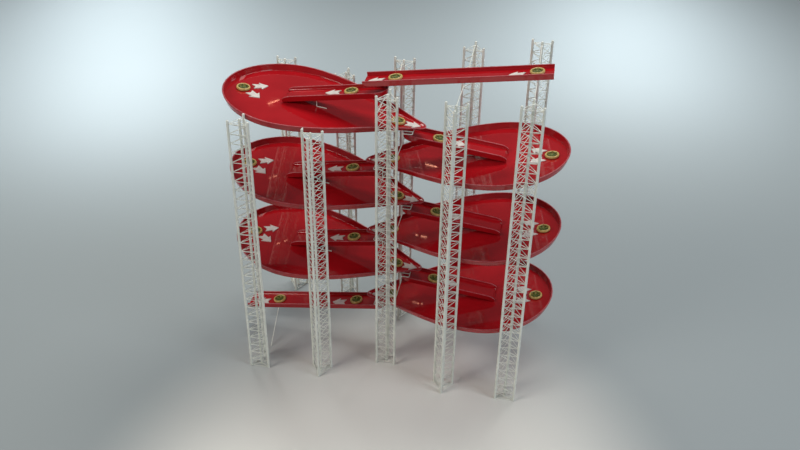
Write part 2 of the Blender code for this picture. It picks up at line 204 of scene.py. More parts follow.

# %% [markdown]
# ## Red trays: vacuum-formed gloss acrylic
#
# The real dishes are thin acrylic sheet, drawn down hot over a mould and then trimmed. The
# surface keeps a mirror gloss, so walls, lamps and towers reflect in it. Forming leaves the
# sheet very slightly wavy, which bends those reflections. Two bumps give that: a long ripple
# from the forming and a fine orange peel. Dust and finger marks only change the roughness.
# Along the rim the sheet was sawn and sanded, and that crown gets a material of its own: a
# duller, paler pink line, partly the look of a cut acrylic edge and partly a painted highlight
# along the rim.

# %% Gloss acrylic
FORMING_RIPPLE = 34 * MM
FORMING_DEPTH = 0.004 * MM
ORANGE_PEEL = 2.4 * MM      # real peel is nearer 1 mm, too fine to show from this distance
PEEL_DEPTH = 0.0002 * MM
ACRYLIC_IOR = 1.49


def gloss_acrylic():
    """Deep red acrylic sheet with a wet gloss."""
    material, tree, shader = new_material("gloss acrylic, red")
    colour = blend_colours(tree, mottle(tree, 60 * MM), "#A4121A", "#AE161E")
    tree.links.new(colour, shader.inputs["Base Color"])
    smears = between(tree, mottle(tree, 22 * MM, 5.0, 0.65), 0.015, 0.05)
    tree.links.new(smears, shader.inputs["Roughness"])
    shader.inputs["IOR"].default_value = ACRYLIC_IOR
    shader.inputs["Coat Weight"].default_value = 0.25
    shader.inputs["Coat Roughness"].default_value = 0.01
    peel = add_node(tree, "Bump", {"Strength": 1.0, "Distance": PEEL_DEPTH},
                    {"Height": mottle(tree, ORANGE_PEEL)})
    ripple = add_node(tree, "Bump", {"Strength": 1.0, "Distance": FORMING_DEPTH},
                      {"Height": mottle(tree, FORMING_RIPPLE, 1.0),
                       "Normal": peel.outputs["Normal"]})
    tree.links.new(ripple.outputs["Normal"], shader.inputs["Normal"])
    return material


def sanded_edge_and_painted_highlight():
    """The trimmed edge of the same sheet, made paler partly as a painted highlight along the rim."""
    material, tree, shader = new_material("sanded acrylic edge, pink, with painted highlight")
    colour = blend_colours(tree, mottle(tree, 6 * MM, 3.0), "#A23A42", "#B6565C")
    tree.links.new(colour, shader.inputs["Base Color"])
    scratches = between(tree, mottle(tree, 1.5 * MM, 4.0), 0.24, 0.42)
    tree.links.new(scratches, shader.inputs["Roughness"])
    shader.inputs["IOR"].default_value = ACRYLIC_IOR
    return material


acrylic = gloss_acrylic()
cut_edge_and_painted_highlight = sanded_edge_and_painted_highlight()
print("made", acrylic.name, "and", cut_edge_and_painted_highlight.name)

# %% [markdown]
# ## Towers and wires: sprayed enamel on soldered rod
#
# Model makers solder lattice towers from brass rod and wire and then spray them. The paint is
# an off-white satin enamel. Spray leaves a fine tooth, and handling a faint yellow-grey cast in
# patches, so colour, roughness and bump each get a noise of their own size.

# %% Satin enamel
SPRAY_TOOTH = 0.8 * MM      # paint mist is finer; drawn coarser so that it shows at all
TOOTH_DEPTH = 0.03 * MM
ENAMEL_IOR = 1.50


def satin_enamel():
    """Off-white spray enamel."""
    material, tree, shader = new_material("satin enamel, off-white")
    colour = blend_colours(tree, mottle(tree, 24 * MM, 4.0), "#DADED4", "#E8EAE1")
    tree.links.new(colour, shader.inputs["Base Color"])
    sheen = between(tree, mottle(tree, 9 * MM, 3.0), 0.24, 0.40)
    tree.links.new(sheen, shader.inputs["Roughness"])
    shader.inputs["IOR"].default_value = ENAMEL_IOR
    tooth = add_node(tree, "Bump", {"Strength": 0.6, "Distance": TOOTH_DEPTH},
                     {"Height": mottle(tree, SPRAY_TOOTH)})
    tree.links.new(tooth.outputs["Normal"], shader.inputs["Normal"])
    return material


enamel = satin_enamel()
print("made", enamel.name)

# %% [markdown]
# ## Rafts and arrows: vinyl and card
#
# The rafts stand for welded vinyl rings. Each has a fat yellow tube and green seats, moulded in
# soft vinyl with a dull sheen. The arrows are cut from white card or sheet styrene: matt, a
# little warm, with no gloss to compete with the red around them.

# %% Vinyl and styrene
GRAIN = 0.9 * MM
GRAIN_DEPTH = 0.05 * MM
VINYL_IOR = 1.53


def soft_vinyl(name, first, second, rough):
    """Moulded vinyl between two close shades."""
    material, tree, shader = new_material(name)
    colour = blend_colours(tree, mottle(tree, 3.5 * MM, 3.0), first, second)
    tree.links.new(colour, shader.inputs["Base Color"])
    dull = between(tree, mottle(tree, 2 * MM), rough - 0.05, rough + 0.08)
    tree.links.new(dull, shader.inputs["Roughness"])
    shader.inputs["IOR"].default_value = VINYL_IOR
    grain = add_node(tree, "Bump", {"Strength": 0.5, "Distance": GRAIN_DEPTH},
                     {"Height": mottle(tree, GRAIN)})
    tree.links.new(grain.outputs["Normal"], shader.inputs["Normal"])
    return material


ring_vinyl = soft_vinyl("soft vinyl, straw yellow", "#B59A4C", "#D2BE7C", 0.38)
seat_vinyl = soft_vinyl("soft vinyl, olive green", "#3C4A10", "#66721E", 0.45)
grip_vinyl = soft_vinyl("soft vinyl, dark brown", "#2E2413", "#3F3219", 0.5)
styrene = soft_vinyl("sheet styrene, white", "#C6C0BA", "#D6D0CA", 0.55)
print("made", len(bpy.data.materials), "materials in all")

# %% [markdown]
# ## From a drawing to a mesh
#
# Most pieces here come from a path and a section. These helpers make a mesh object, move a path
# sideways, turn a section into a round body and lay a straight rod between two points. The
# weighted normals keep the large flat floors flat in reflections where they meet a rounded edge.

# %% Mesh helpers
SHARP_EDGE = math.radians(38)
SHARPEST_MITRE = 0.5
LARGE_FACE_WEIGHT = 90


def make_piece(name, bm, materials, place=Matrix(), node=None):
    """A finished piece that rides with the model and may stand for a construction node."""
    bmesh.ops.transform(bm, matrix=place, verts=bm.verts)
    bmesh.ops.recalc_face_normals(bm, faces=bm.faces)
    mesh = bpy.data.meshes.new(name)
    bm.to_mesh(mesh)
    bm.free()
    for material in materials:
        mesh.materials.append(material)
    return place_piece(name, mesh, Matrix(), node)


def place_piece(name, mesh, place=Matrix(), node=None):
    """An object of a mesh, which other objects may share."""
    mesh.shade_smooth()
    mesh.set_sharp_from_angle(angle=SHARP_EDGE)
    piece = bpy.data.objects.new(name, mesh)
    piece.matrix_world = place
    bpy.context.scene.collection.objects.link(piece)
    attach(piece, "root")
    if node:
        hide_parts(node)
    return piece


def flatten_reflections(piece):
    """Let the large faces decide the normals at their edges."""
    weigh = piece.modifiers.new("weighted normals", "WEIGHTED_NORMAL")
    weigh.keep_sharp = True
    weigh.weight = LARGE_FACE_WEIGHT


def inset(path, distance, closed=False):
    """Move each point of a flat path to its right-hand side."""
    count = len(path)
    moved = []
    for index, point in enumerate(path):
        before = path[index - 1] if closed or index else point
        after = path[(index + 1) % count] if closed or index < count - 1 else point
        into, out = (point - before), (after - point)
        into = into.normalized() if into.length else out.normalized()
        out = out.normalized() if out.length else into
        along = (into + out).normalized()
        reach = distance / max(along.dot(out), SHARPEST_MITRE)
        moved.append(point + reach * Vector((along.y, -along.x)))
    return moved


def add_turned(bm, section, sides, place=Matrix()):
    """A turned body. The section's points are radius and height, from the axis to the axis."""
    corners = [bm.verts.new((radius, 0, height)) for radius, height in section]
    edges = [bm.edges.new(pair) for pair in zip(corners, corners[1:])]
    before = set(bm.verts) - set(corners)
    bmesh.ops.spin(bm, geom=corners + edges, cent=(0, 0, 0), axis=(0, 0, 1),
                   angle=math.tau, steps=sides, use_merge=True)
    fresh = [vert for vert in bm.verts if vert not in before]
    bmesh.ops.remove_doubles(bm, verts=fresh, dist=1e-6)
    fresh = [vert for vert in bm.verts if vert not in before]
    bmesh.ops.transform(bm, matrix=place, verts=fresh)


def add_rod(bm, start, end, radius, sides):
    """A straight rod between two points."""
    start, end = Vector(start), Vector(end)
    way = end - start
    turn = way.to_track_quat("Z", "Y").to_matrix().to_4x4()
    bmesh.ops.create_cone(bm, cap_ends=True, segments=sides, radius1=radius, radius2=radius,
                          depth=way.length, matrix=Matrix.Translation((start + end) / 2) @ turn)


def add_drop(bm, centre, radius, squash=(1, 1, 1), turn=Matrix()):
    """A small rounded lump, such as a bead of solder or a seat."""
    place = Matrix.Translation(centre) @ turn @ Matrix.Diagonal((*squash, 1))
    bmesh.ops.create_uvsphere(bm, u_segments=12, v_segments=8, radius=radius, matrix=place)


def arc(centre, radius, first, last, steps):
    """Points round part of a circle, angles in degrees."""
    angles = [math.radians(first + (last - first) * step / steps) for step in range(steps + 1)]
    return [Vector((centre[0] + radius * math.cos(a), centre[1] + radius * math.sin(a)))
            for a in angles]


def bezier(points, share):
    """A point on the curve that a chain of two to four control points draws."""
    points = [Vector(point) for point in points]
    while len(points) > 1:
        points = [a.lerp(b, share) for a, b in zip(points, points[1:])]
    return points[0]


# %% [markdown]
# ## The edge of a tray
#
# The same edge runs round every tray: a wall that leans out, a rounded cove at its foot, and a
# lip along the top, whose crown is the cut edge, painted paler also as the rim's highlight. The
# section is drawn once, from the underside up the outside, round the lip and down the inside to
# the floor. Dishes are thin throughout. Ramps and chutes have a thick floor, so their inside is
# shallow. Where a wall runs low, as along a neck, its plain part is shortened, and where it is
# lowest its lip thins too.

# %% Section of a wall with its lip
COVE_STEPS = 5
LIP_STEPS = 9
LIP_LOW = 1.8               # the lip takes this many of its radii below the top
LIP_KEPT = 2.2              # a wall under 1/2.2 of its height starts to thin its lip
CROWN = 0.35                # the cut edge and its painted highlight are the lip above this share of its radius


class Edge:
    """The section of a tray's wall. Each point has a distance in from the rim and a height."""

    def __init__(self, depth, lean, cove, lip, floor, inner_cove):
        self.depth, self.lip, self.floor = depth, lip, floor
        self.low = depth - LIP_LOW * lip
        self.slope = lean / (depth - cove)
        outside = self.wall_side(lean, 0, cove)
        inner_lean = (depth - floor - inner_cove) * self.slope + SHEET
        inside = self.wall_side(inner_lean, floor, inner_cove)
        inside[-1].x += SHEET
        lip_round = arc((lip, depth - lip), lip, 215, -35, LIP_STEPS)
        self.points = outside + lip_round + list(reversed(inside))
        self.kinds = ["out"] * len(outside) + ["lip"] * len(lip_round) + ["in"] * len(inside)

    def wall_side(self, lean, foot, cove):
        """One side of the wall, from its cove up to the lip."""
        corner = [(lean + cove, foot), (lean + cove * self.slope, foot), (lean, foot + cove)]
        side = [bezier(corner, step / COVE_STEPS) for step in range(COVE_STEPS + 1)]
        return side + [Vector(((self.depth - self.low) * self.slope, self.low))]

    def height(self, index, share, base):
        """Height of a point where the wall keeps a share of its height above a base."""
        rise = self.points[index].y
        thin = min(1.0, LIP_KEPT * share)
        top = base + (self.depth - base) * share
        low = top - (self.depth - self.low) * thin
        if self.kinds[index] == "lip":
            return top - (self.depth - rise) * thin
        foot = 0.0 if self.kinds[index] == "out" else self.floor
        return foot + (rise - foot) / (self.low - foot) * (low - foot)

    def on_cut_edge_and_highlight(self, index):
        """Whether the strip above this point belongs to the cut edge, whose paler pink is partly a
        painted highlight.
        """
        crown = self.depth - self.lip * (1 - CROWN)
        return index + 1 < len(self.points) and min(self.points[index].y,
                                                    self.points[index + 1].y) > crown


dish_edge = Edge(12.9 * MM, 4.0 * MM, 2.4 * MM, 1.3 * MM, SHEET, 0.8 * MM)
trough_edge = Edge(11.5 * MM, 1.5 * MM, 1.6 * MM, 1.3 * MM, TROUGH_FLOOR, 3.2 * MM)
print("wall section has", len(dish_edge.points), "points")

# %% [markdown]
# ## Dishes
#
# Seen from above a dish is a teardrop: a round bowl that runs out into a neck with a small
# round tip. The outline is an arc, one smooth curve down the side and a second arc, and the
# other half mirrors it. Along the neck the wall runs lower, to a third of its height at the
# tip. Lofting the wall's section round this outline gives one clean skin with even faces, which
# a glossy finish needs.

# %% Outline of a dish
DISH_RADIUS = 121.0 * MM
DISH_CENTRE = -192.8 * MM
DISH_TIP = 55.0 * MM
DISH_TIP_RADIUS = 14.0 * MM
DISH_ARC_END = math.radians(84)
DISH_TIP_ARC = math.radians(62)
NECK_LOW = 0.33             # wall height at the tip, as a share
NECK_LOW_FROM = -35.0 * MM
BOWL_STEPS, SIDE_STEPS, TIP_STEPS = 40, 30, 9


def dish_half_outline():
    """One side of the rim in plan, from the outer end to the tip."""
    points = arc((DISH_CENTRE, 0), DISH_RADIUS, 180, math.degrees(DISH_ARC_END), BOWL_STEPS)
    tip_centre = DISH_TIP - DISH_TIP_RADIUS
    tip = arc((tip_centre, 0), DISH_TIP_RADIUS, math.degrees(DISH_TIP_ARC), 0, TIP_STEPS)
    pull = (tip[0] - points[-1]).length / 3
    leave = Vector((math.sin(DISH_ARC_END), -math.cos(DISH_ARC_END)))
    arrive = Vector((math.sin(DISH_TIP_ARC), -math.cos(DISH_TIP_ARC)))
    side = (points[-1], points[-1] + pull * leave, tip[0] - pull * arrive, tip[0])
    points += [bezier(side, step / SIDE_STEPS) for step in range(1, SIDE_STEPS)]
    return points + tip


def neck_share(point):
    """Share of the wall's height. It runs lower along the neck, where the raft leaves."""
    along = (point.x - NECK_LOW_FROM) / (DISH_TIP - NECK_LOW_FROM)
    return 1 - (1 - NECK_LOW) * min(max(along, 0.0), 1.0)


def loft_edge(bm, path, edge, closed, share, base=0.0):
    """Loft the wall's section along a path and return its rows of points."""
    rows = []
    for index, spot in enumerate(edge.points):
        places = inset(path, spot.x, closed)
        rows.append([bm.verts.new((place.x, place.y, edge.height(index, share(point), base)))
                     for place, point in zip(places, path)])
    bays = len(path) if closed else len(path) - 1
    for row, (lower, upper) in enumerate(zip(rows, rows[1:])):
        for index in range(bays):
            after = (index + 1) % len(path)
            strip = bm.faces.new((lower[index], lower[after], upper[after], upper[index]))
            # material 1 is the cut edge, whose paler pink is partly a painted highlight
            strip.material_index = int(edge.on_cut_edge_and_highlight(row))
    return rows


def dish_mesh():
    """One dish: the lofted wall, closed by its floor above and below."""
    half = dish_half_outline()
    outline = half + [Vector((point.x, -point.y)) for point in reversed(half[1:-1])]
    bm = bmesh.new()
    rows = loft_edge(bm, outline, dish_edge, True, neck_share)
    bm.faces.new(rows[0])
    bm.faces.new(rows[-1])
    return bm


for level in range(1, DISHES + 1):
    name = "dish_" + side_name(level)
    piece = make_piece(name + "_skin", dish_mesh(), (acrylic, cut_edge_and_painted_highlight),
                       dish_frame(level), name)
    flatten_reflections(piece)
print("one dish has", len(piece.data.polygons), "faces")

# %% [markdown]
# ## Ramps and chutes
#
# A ramp is a straight, shallow trough with a thick floor. Its start is closed in a half circle
# under the tray above, and at its end the walls curve down to the floor so that a raft glides
# off into the dish. The exit chute is the same trough without the run-out. The top chute is
# open at both ends, so its whole U section is simply drawn out along its length.

# %% Troughs
TROUGH_HALF = 22.0 * MM
RAMP_START = 12.0 * MM
RAMP_TAPER = 17.0 * MM
RAMP_END_WALL = 0.10        # what is left of the wall above the floor, at the very end
RAMP_END_BEVEL = 4.5 * MM   # the top of the floor stops this far short of the end
TOP_CHUTE_HEAD, TOP_CHUTE_END = -269.0 * MM, 55.0 * MM
EXIT_CHUTE_END = 303.0 * MM
START_STEPS = 12
TAPER_STEPS = 10


def trough_mesh(start, end, taper=0.0):
    """A trough with a round start, whose walls may run out at its end."""
    side = [Vector((end - taper * (step / TAPER_STEPS) ** 2, TROUGH_HALF))
            for step in range(TAPER_STEPS + 1 if taper else 1)]
    side += arc((start + TROUGH_HALF, 0), TROUGH_HALF, 90, 180, START_STEPS)[:-1]
    path = [Vector((point.x, -point.y)) for point in side] + [Vector((start, 0))]
    path += reversed(side)

    def share(point):
        """A quarter of an ellipse, so that the wall ends in a round nose."""
        if not taper:
            return 1.0
        left = min(max(1 - (end - point.x) / taper, 0.0), 1.0)
        return max(math.sqrt(1 - left ** 2), RAMP_END_WALL)

    bm = bmesh.new()
    rows = loft_edge(bm, path, trough_edge, False, share, TROUGH_FLOOR)
    bm.faces.new(rows[0])
    bm.faces.new(rows[-1])
    bm.faces.new([row[0] for row in rows])
    bm.faces.new([row[-1] for row in rows])
    bm.faces.new((rows[0][0], rows[0][-1], rows[-1][-1], rows[-1][0]))
    if taper:
        rows[-1][0].co.x -= RAMP_END_BEVEL
        rows[-1][-1].co.x -= RAMP_END_BEVEL
    return bm


def open_trough_mesh(start, end):
    """A U section drawn out along its length."""
    half = [Vector((TROUGH_HALF - point.x, point.y)) for point in trough_edge.points]
    section = half + [Vector((-point.x, point.y)) for point in reversed(half)]
    # cut marks the cut edge, whose paler pink is partly a painted highlight
    cut = [trough_edge.on_cut_edge_and_highlight(index) for index in range(len(half))]
    cut += [trough_edge.on_cut_edge_and_highlight(index - 1) for index in reversed(range(len(half)))]
    bm = bmesh.new()
    ends = [[bm.verts.new((x, point.x, point.y)) for point in section] for x in (start, end)]
    for index in range(len(section)):
        after = (index + 1) % len(section)
        strip = bm.faces.new((ends[0][index], ends[0][after], ends[1][after], ends[1][index]))
        strip.material_index = int(cut[index])
    for corners in ends:
        bm.faces.new(corners)
    return bm


troughs = {"ramp_" + side_name(level): (trough_mesh(RAMP_START, RAMP_END, RAMP_TAPER),
                                        ramp_frame(level)) for level in range(1, DISHES + 1)}
troughs["exit_chute"] = (trough_mesh(RAMP_START, EXIT_CHUTE_END), ramp_frame(DISHES + 1))
troughs["top_chute"] = (open_trough_mesh(TOP_CHUTE_HEAD, TOP_CHUTE_END), chute_frame())
for name, (bm, place) in troughs.items():
    flatten_reflections(make_piece(name + "_skin", bm, (acrylic, cut_edge_and_painted_highlight), place,
                                   name))
print("made", len(troughs), "ramps and chutes")

# %% [markdown]
# ## Lattice towers
#
# Each tower has three posts at the corners of a triangle and a fourth in its middle. Thin wire
# laces the three faces: a level rung about every 18 mm and one diagonal in each panel, leaning
# the same way on all three. The rungs are counted down from the top, so that the panel at
# the foot takes what is left. The construction model has only a few long laces, so the tower
# is drawn again here with all of them, in the same place.

# %% Posts and laces
TOWER_PITCH = 120.0 * MM
TOWER_SIDE = 35.0 * MM
TOWER_RISE = TOWER_SIDE * math.sqrt(3) / 2      # height of the triangle in plan
TOWER_HEIGHTS = [535.0 * MM, 520.0 * MM, 577.0 * MM, 593.0 * MM, 608.5 * MM]
LEANS_LEFT = (3, 4, 5)      # front towers whose diagonals rise clockwise, seen from above
END_TOWER_APEX = 111.85 * MM
INNER_FACE = 117.8 * MM
MIDDLE_TOWER_APEX = 55.1 * MM
POST_RADIUS = 2.3 * MM
KNOB_RADIUS = 2.5 * MM
KNOB_HEIGHT = 4.4 * MM
LACE_RADIUS = 0.58 * MM
PANEL = 18.25 * MM
SHORTEST_PANEL = PANEL / 3
LACE_FOOT = 1.5 * MM
LACE_HEAD = 7.0 * MM
FOOT_BEVEL = 0.3 * MM
POST_SIDES, LACE_SIDES = 16, 8


def add_post(bm, centre, height):
    """A round post with a bead of solder rounded over its top."""
    section = [(0, 0), (POST_RADIUS - FOOT_BEVEL, 0), (POST_RADIUS, FOOT_BEVEL),
               (POST_RADIUS, height - KNOB_HEIGHT)]
    bead = arc((0, 0), 1.0, -50, 90, 7)
    for point in bead[:-1]:
        section.append((KNOB_RADIUS * point.x, height + KNOB_HEIGHT * (point.y - 1) / 2))
    section.append((0, height))
    add_turned(bm, section, POST_SIDES, Matrix.Translation((*centre, 0)))


def tower_corners():
    """The three outer posts in plan, round the middle one, with the apex at +Y."""
    return (Vector((0, TOWER_RISE * 2 / 3)), Vector((-TOWER_SIDE / 2, -TOWER_RISE / 3)),
            Vector((TOWER_SIDE / 2, -TOWER_RISE / 3)))


def rung_heights(height):
    """Heights of the rungs, from the top down to the foot."""
    count = math.floor((height - LACE_HEAD - LACE_FOOT) / PANEL)
    rungs = [height - LACE_HEAD - step * PANEL for step in range(count + 1)]
    if rungs[-1] - LACE_FOOT > SHORTEST_PANEL:
        rungs.append(LACE_FOOT)
    return rungs


def tower_mesh(number, row):
    """A whole tower. The back row is the mirror image of the front row."""
    height = TOWER_HEIGHTS[number - 1]
    bm = bmesh.new()
    corners = tower_corners()
    for corner in (*corners, Vector((0, 0))):
        add_post(bm, corner, height)
    rungs = rung_heights(height)
    for face in range(3):
        first, second = corners[face], corners[(face + 1) % 3]
        for level in rungs:
            add_rod(bm, (*first, level), (*second, level), LACE_RADIUS, LACE_SIDES)
        for upper, lower in zip(rungs, rungs[1:]):
            add_rod(bm, (*first, lower), (*second, upper), LACE_RADIUS, LACE_SIDES)
        for level in (rungs[0], rungs[-1]):
            add_rod(bm, (0, 0, level), (*first, level), LACE_RADIUS, LACE_SIDES)
    mirrored = row if number in LEANS_LEFT else -row
    bmesh.ops.scale(bm, verts=bm.verts, vec=(mirrored, 1, 1))
    return bm


def tower_place(number, row):
    """Where a tower stands. Towers 1, 3 and 5 point inwards, towers 2 and 4 outwards."""
    if number == 3:
        depth, apex_in = MIDDLE_TOWER_APEX + TOWER_RISE * 2 / 3, True
    elif number in (1, 5):
        depth, apex_in = END_TOWER_APEX + TOWER_RISE * 2 / 3, True
    else:
        depth, apex_in = INNER_FACE + TOWER_RISE / 3, False
    turn = 0.0 if apex_in == (row < 0) else math.pi
    spot = Matrix.Translation(((number - 3) * TOWER_PITCH, row * depth, 0))
    return spot @ Matrix.Rotation(turn, 4, "Z")


for row, row_name in ((-1, "front"), (1, "back")):
    for number in range(1, len(TOWER_HEIGHTS) + 1):
        node = f"tower_{row_name}_{number}"
        piece = make_piece(node + "_lattice", tower_mesh(number, row), [enamel],
                           tower_place(number, row), node)
print("one tower has", len(piece.data.polygons), "faces")

# %% [markdown]
# ## Lugs that hold the dishes
#
# Towers 2 and 4 stand clear of the dishes beside them. A short square lug reaches from a post
# to each rim, level with its lip, with a bead of solder where it leaves the post. The lugs are
# read from the same outline as the dish, so they end right at its rim.

# %% Lugs
LUG_HALF = 1.2 * MM
LUG_BEAD = 1.6 * MM


def rim_reach(along):
    """Half width of a dish's rim at a place along it."""
    half = dish_half_outline()
    for before, after in zip(half, half[1:]):
        if before.x <= along <= after.x:
            share = (along - before.x) / (after.x - before.x)
            return before.y + share * (after.y - before.y)
    return 0.0


def add_lug(level, row):
    """The lug from a tower post to one rim."""
    side = -1 if level % 2 else 1
    reach = TOWER_PITCH + TOWER_SIDE / 2
    along = -(reach + dish_edge.depth * math.sin(FALL)) / math.cos(FALL)
    rise = dish_edge.depth * math.cos(FALL) - along * math.sin(FALL)
    height = underside(level) + rise - LUG_HALF
    rim = rim_reach(along - LUG_HALF) + SEAT_GAP
    bm = bmesh.new()
    add_rod(bm, (side * reach, row * INNER_FACE, height), (side * reach, row * rim, height),
            LUG_HALF, 4)
    add_drop(bm, (side * reach, row * (INNER_FACE - POST_RADIUS), height), LUG_BEAD)
    row_name = "front" if row < 0 else "back"
    make_piece(f"lug_{side_name(level)}_{row_name}", bm, [enamel])


for level in range(1, DISHES + 1):
    add_lug(level, -1)
    add_lug(level, 1)
print("made", 2 * DISHES, "lugs")

# %% [markdown]
# ## Wire cradles, hangers and the trestle
#
# Bent wire carries the trays where no tower reaches. A cradle between the two middle towers has
# a bar under the start of a ramp and a braced loop under the dish above, and the top one is only
# a bar. Three hangers sling the top chute from tower to tower, and splayed legs hold the low end
# of the exit chute. A bent foot props each ramp on the floor of its dish. Wire can't be folded
# sharply, so every corner of a path is rounded before it becomes a curve with thickness.

# %% Bent wire
WIRE = 0.8 * MM
WIRE_SEAT = 0.96 * MM       # from the construction wire's middle to its highest corner
WIRE_BEND = 2.2 * MM
BEND_STEPS = 5
CRADLE_REACH = 34.5 * MM
CRADLE_HALF = 30.0 * MM
CRADLE_BRACKET = 11.0 * MM
TRESTLE_AT = 237.0 * MM
TRESTLE_SPREAD = 81.0 * MM
TRESTLE_INSET = 3.1 * MM    # the legs meet this far in from the chute's outer side
RAMP_FOOT_AT = 141.0 * MM
RAMP_FOOT_TO_FRONT = 9.0 * MM   # on the left; a right-hand foot is turned round with its ramp
RAMP_FOOT_LENGTH = 18.0 * MM


def round_corners(points, closed):
    """Replace each corner of a path by a short bend."""
    points = [Vector(point) for point in points]
    smooth = []
    for index, point in enumerate(points):
        if not closed and index in (0, len(points) - 1):
            smooth.append(point)
            continue
        before, after = points[index - 1], points[(index + 1) % len(points)]
        bend = min(WIRE_BEND, (before - point).length / 2, (after - point).length / 2)
        start = point + (before - point).normalized() * bend
        end = point + (after - point).normalized() * bend
        smooth += [bezier((start, point, end), step / BEND_STEPS)
                   for step in range(BEND_STEPS + 1)]
    return smooth


def add_wire(name, paths, node=None):
    """One piece of bent wires. Each path is its points and whether it closes on itself."""
    curve = bpy.data.curves.new(name, "CURVE")
    curve.dimensions = "3D"
    curve.bevel_depth = WIRE
    curve.bevel_resolution = 3
    curve.use_fill_caps = True
    for points, closed in paths:
        points = round_corners(points, closed)
        spline = curve.splines.new("POLY")
        spline.points.add(len(points) - 1)
        spline.use_cyclic_u = closed
        for knot, point in zip(spline.points, points):
            knot.co = (*point, 1.0)
    curve.materials.append(enamel)
    piece = bpy.data.objects.new(name, curve)
    bpy.context.scene.collection.objects.link(piece)
    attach(piece, "root")
    if node:
        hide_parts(node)


def add_cradle(level):
    """The wire under dish number level, if there is one, and under the next ramp's start."""
    side = -1 if level % 2 == 0 else 1
    post_x, reach_x = side * TOWER_SIDE / 2, side * CRADLE_REACH
    slope = math.tan(FALL)
    low = ramp_underside(level + 1) - abs(post_x) * slope - SEAT_GAP - WIRE
    high = underside(level) - CRADLE_REACH * slope - SEAT_GAP - WIRE
    end = MIDDLE_TOWER_APEX + TOWER_RISE - POST_RADIUS
    bar = [(post_x, -end, low), (post_x, end, low)]
    loop = [(post_x, -CRADLE_HALF, high), (reach_x, -CRADLE_HALF, high),
            (reach_x, CRADLE_HALF, high), (post_x, CRADLE_HALF, high)]
    uprights = [[(post_x, y, low), (post_x, y, high)] for y in (-CRADLE_HALF, CRADLE_HALF)]
    braces = [[(post_x, y, high), (reach_x, y, high)]
              for y in (CRADLE_BRACKET - CRADLE_HALF, CRADLE_HALF - CRADLE_BRACKET)]
    paths = [(bar, False)]
    if level:
        paths += [(loop, True)] + [(path, False) for path in uprights + braces]
    name = f"cradle_{level + 1}"
    add_wire(name + "_wire", paths, name)


def add_hanger(number):
    """The wire that slings the top chute between two towers."""
    x = (number - 3) * TOWER_PITCH
    seat = TOP_UNDERSIDE + TOP_CHUTE_LIFT + x * math.tan(FALL) - SEAT_GAP - WIRE_SEAT
    top = TOWER_HEIGHTS[number - 1] - 2 * WIRE
    post = {3: MIDDLE_TOWER_APEX, 4: INNER_FACE + TOWER_RISE / 3, 5: END_TOWER_APEX}[number]
    reach = post - KNOB_RADIUS / 2
    points = [(x, -reach, top), (x, -TROUGH_HALF, seat), (x, TROUGH_HALF, seat), (x, reach, top)]
    name = f"chute_hanger_{number}"
    add_wire(name + "_wire", [(points, False)], name)


def add_trestle():
    """Splayed legs under the low end of the exit chute."""
    seat = ramp_underside(DISHES + 1) - TRESTLE_AT * math.tan(FALL) - SEAT_GAP - WIRE_SEAT
    half = TROUGH_HALF - TRESTLE_INSET
    points = [(-TRESTLE_AT, -TRESTLE_SPREAD, WIRE), (-TRESTLE_AT, -half, seat),
              (-TRESTLE_AT, half, seat), (-TRESTLE_AT, TRESTLE_SPREAD, WIRE)]
    add_wire("exit_trestle_wire", [(points, False)], "exit_trestle")


def add_ramp_foot(level):
    """A wire from under the ramp down to the dish's floor, where its end is bent along it."""
    side = -1 if level % 2 else 1
    slope = math.tan(FALL)
    x, y = side * RAMP_FOOT_AT, side * RAMP_FOOT_TO_FRONT
    top = ramp_underside(level) - RAMP_FOOT_AT * slope - SEAT_GAP
    low = underside(level) + SHEET / math.cos(FALL) + RAMP_FOOT_AT * slope + SEAT_GAP + WIRE
    toe = (x - side * RAMP_FOOT_LENGTH, y, low - RAMP_FOOT_LENGTH * slope)
    add_wire("ramp_foot_" + side_name(level), [([(x, y, top), (x, y, low), toe], False)])


for level in range(DISHES + 1):
    add_cradle(level)
for level in range(1, DISHES + 1):
    add_ramp_foot(level)
for number in (3, 4, 5):
    add_hanger(number)
add_trestle()
print("bent", 2 * DISHES + 5, "wires")

# %% [markdown]
# ## Rafts
#
# A family raft is a fat ring with seats inside. At 1:100 it is only 25 mm across, but it is the
# one thing on the model with another colour, so it gets its real parts: a ring with a flat
# belly, a floor, six seats leaning on the ring, a round hub, and a small grip and a pad between
# each two seats.

# %% Rafts
RAFT_RADIUS = 12.5 * MM
RAFT_HEIGHT = 5.0 * MM
TUBE_HALF = 1.75 * MM
TUBE_MIDDLE = RAFT_RADIUS - TUBE_HALF
RAFT_FLOOR = 1.4 * MM
RING_STEPS, RING_SIDES = 18, 40
SEATS = 6
CUSHION_AT, CUSHION = (4.9 * MM, 0, 1.9 * MM), 2.4 * MM
BACK_AT, BACK = (7.2 * MM, 0, 3.3 * MM), 2.2 * MM
HUB_AT, HUB = (0, 0, 1.9 * MM), 2.3 * MM
PAD_AT, PAD = RAFT_HEIGHT - 0.35 * MM, 0.9 * MM
GRIP_AT, GRIP_FOOT = TUBE_MIDDLE - 1.9 * MM, 3.9 * MM
GRIP_RISE, GRIP_HALF, GRIP_WIRE = 0.9 * MM, 1.1 * MM, 0.3 * MM
RAFT_ON_DISH, RAFT_ON_NECK, RAFT_ON_RAMP = -281.0 * MM, 4.0 * MM, 79.5 * MM
RAFTS_ON_TOP_CHUTE = (-241.5 * MM, 0.5 * MM)
RAFTS_ON_EXIT_CHUTE = (77.0 * MM, 240.5 * MM)


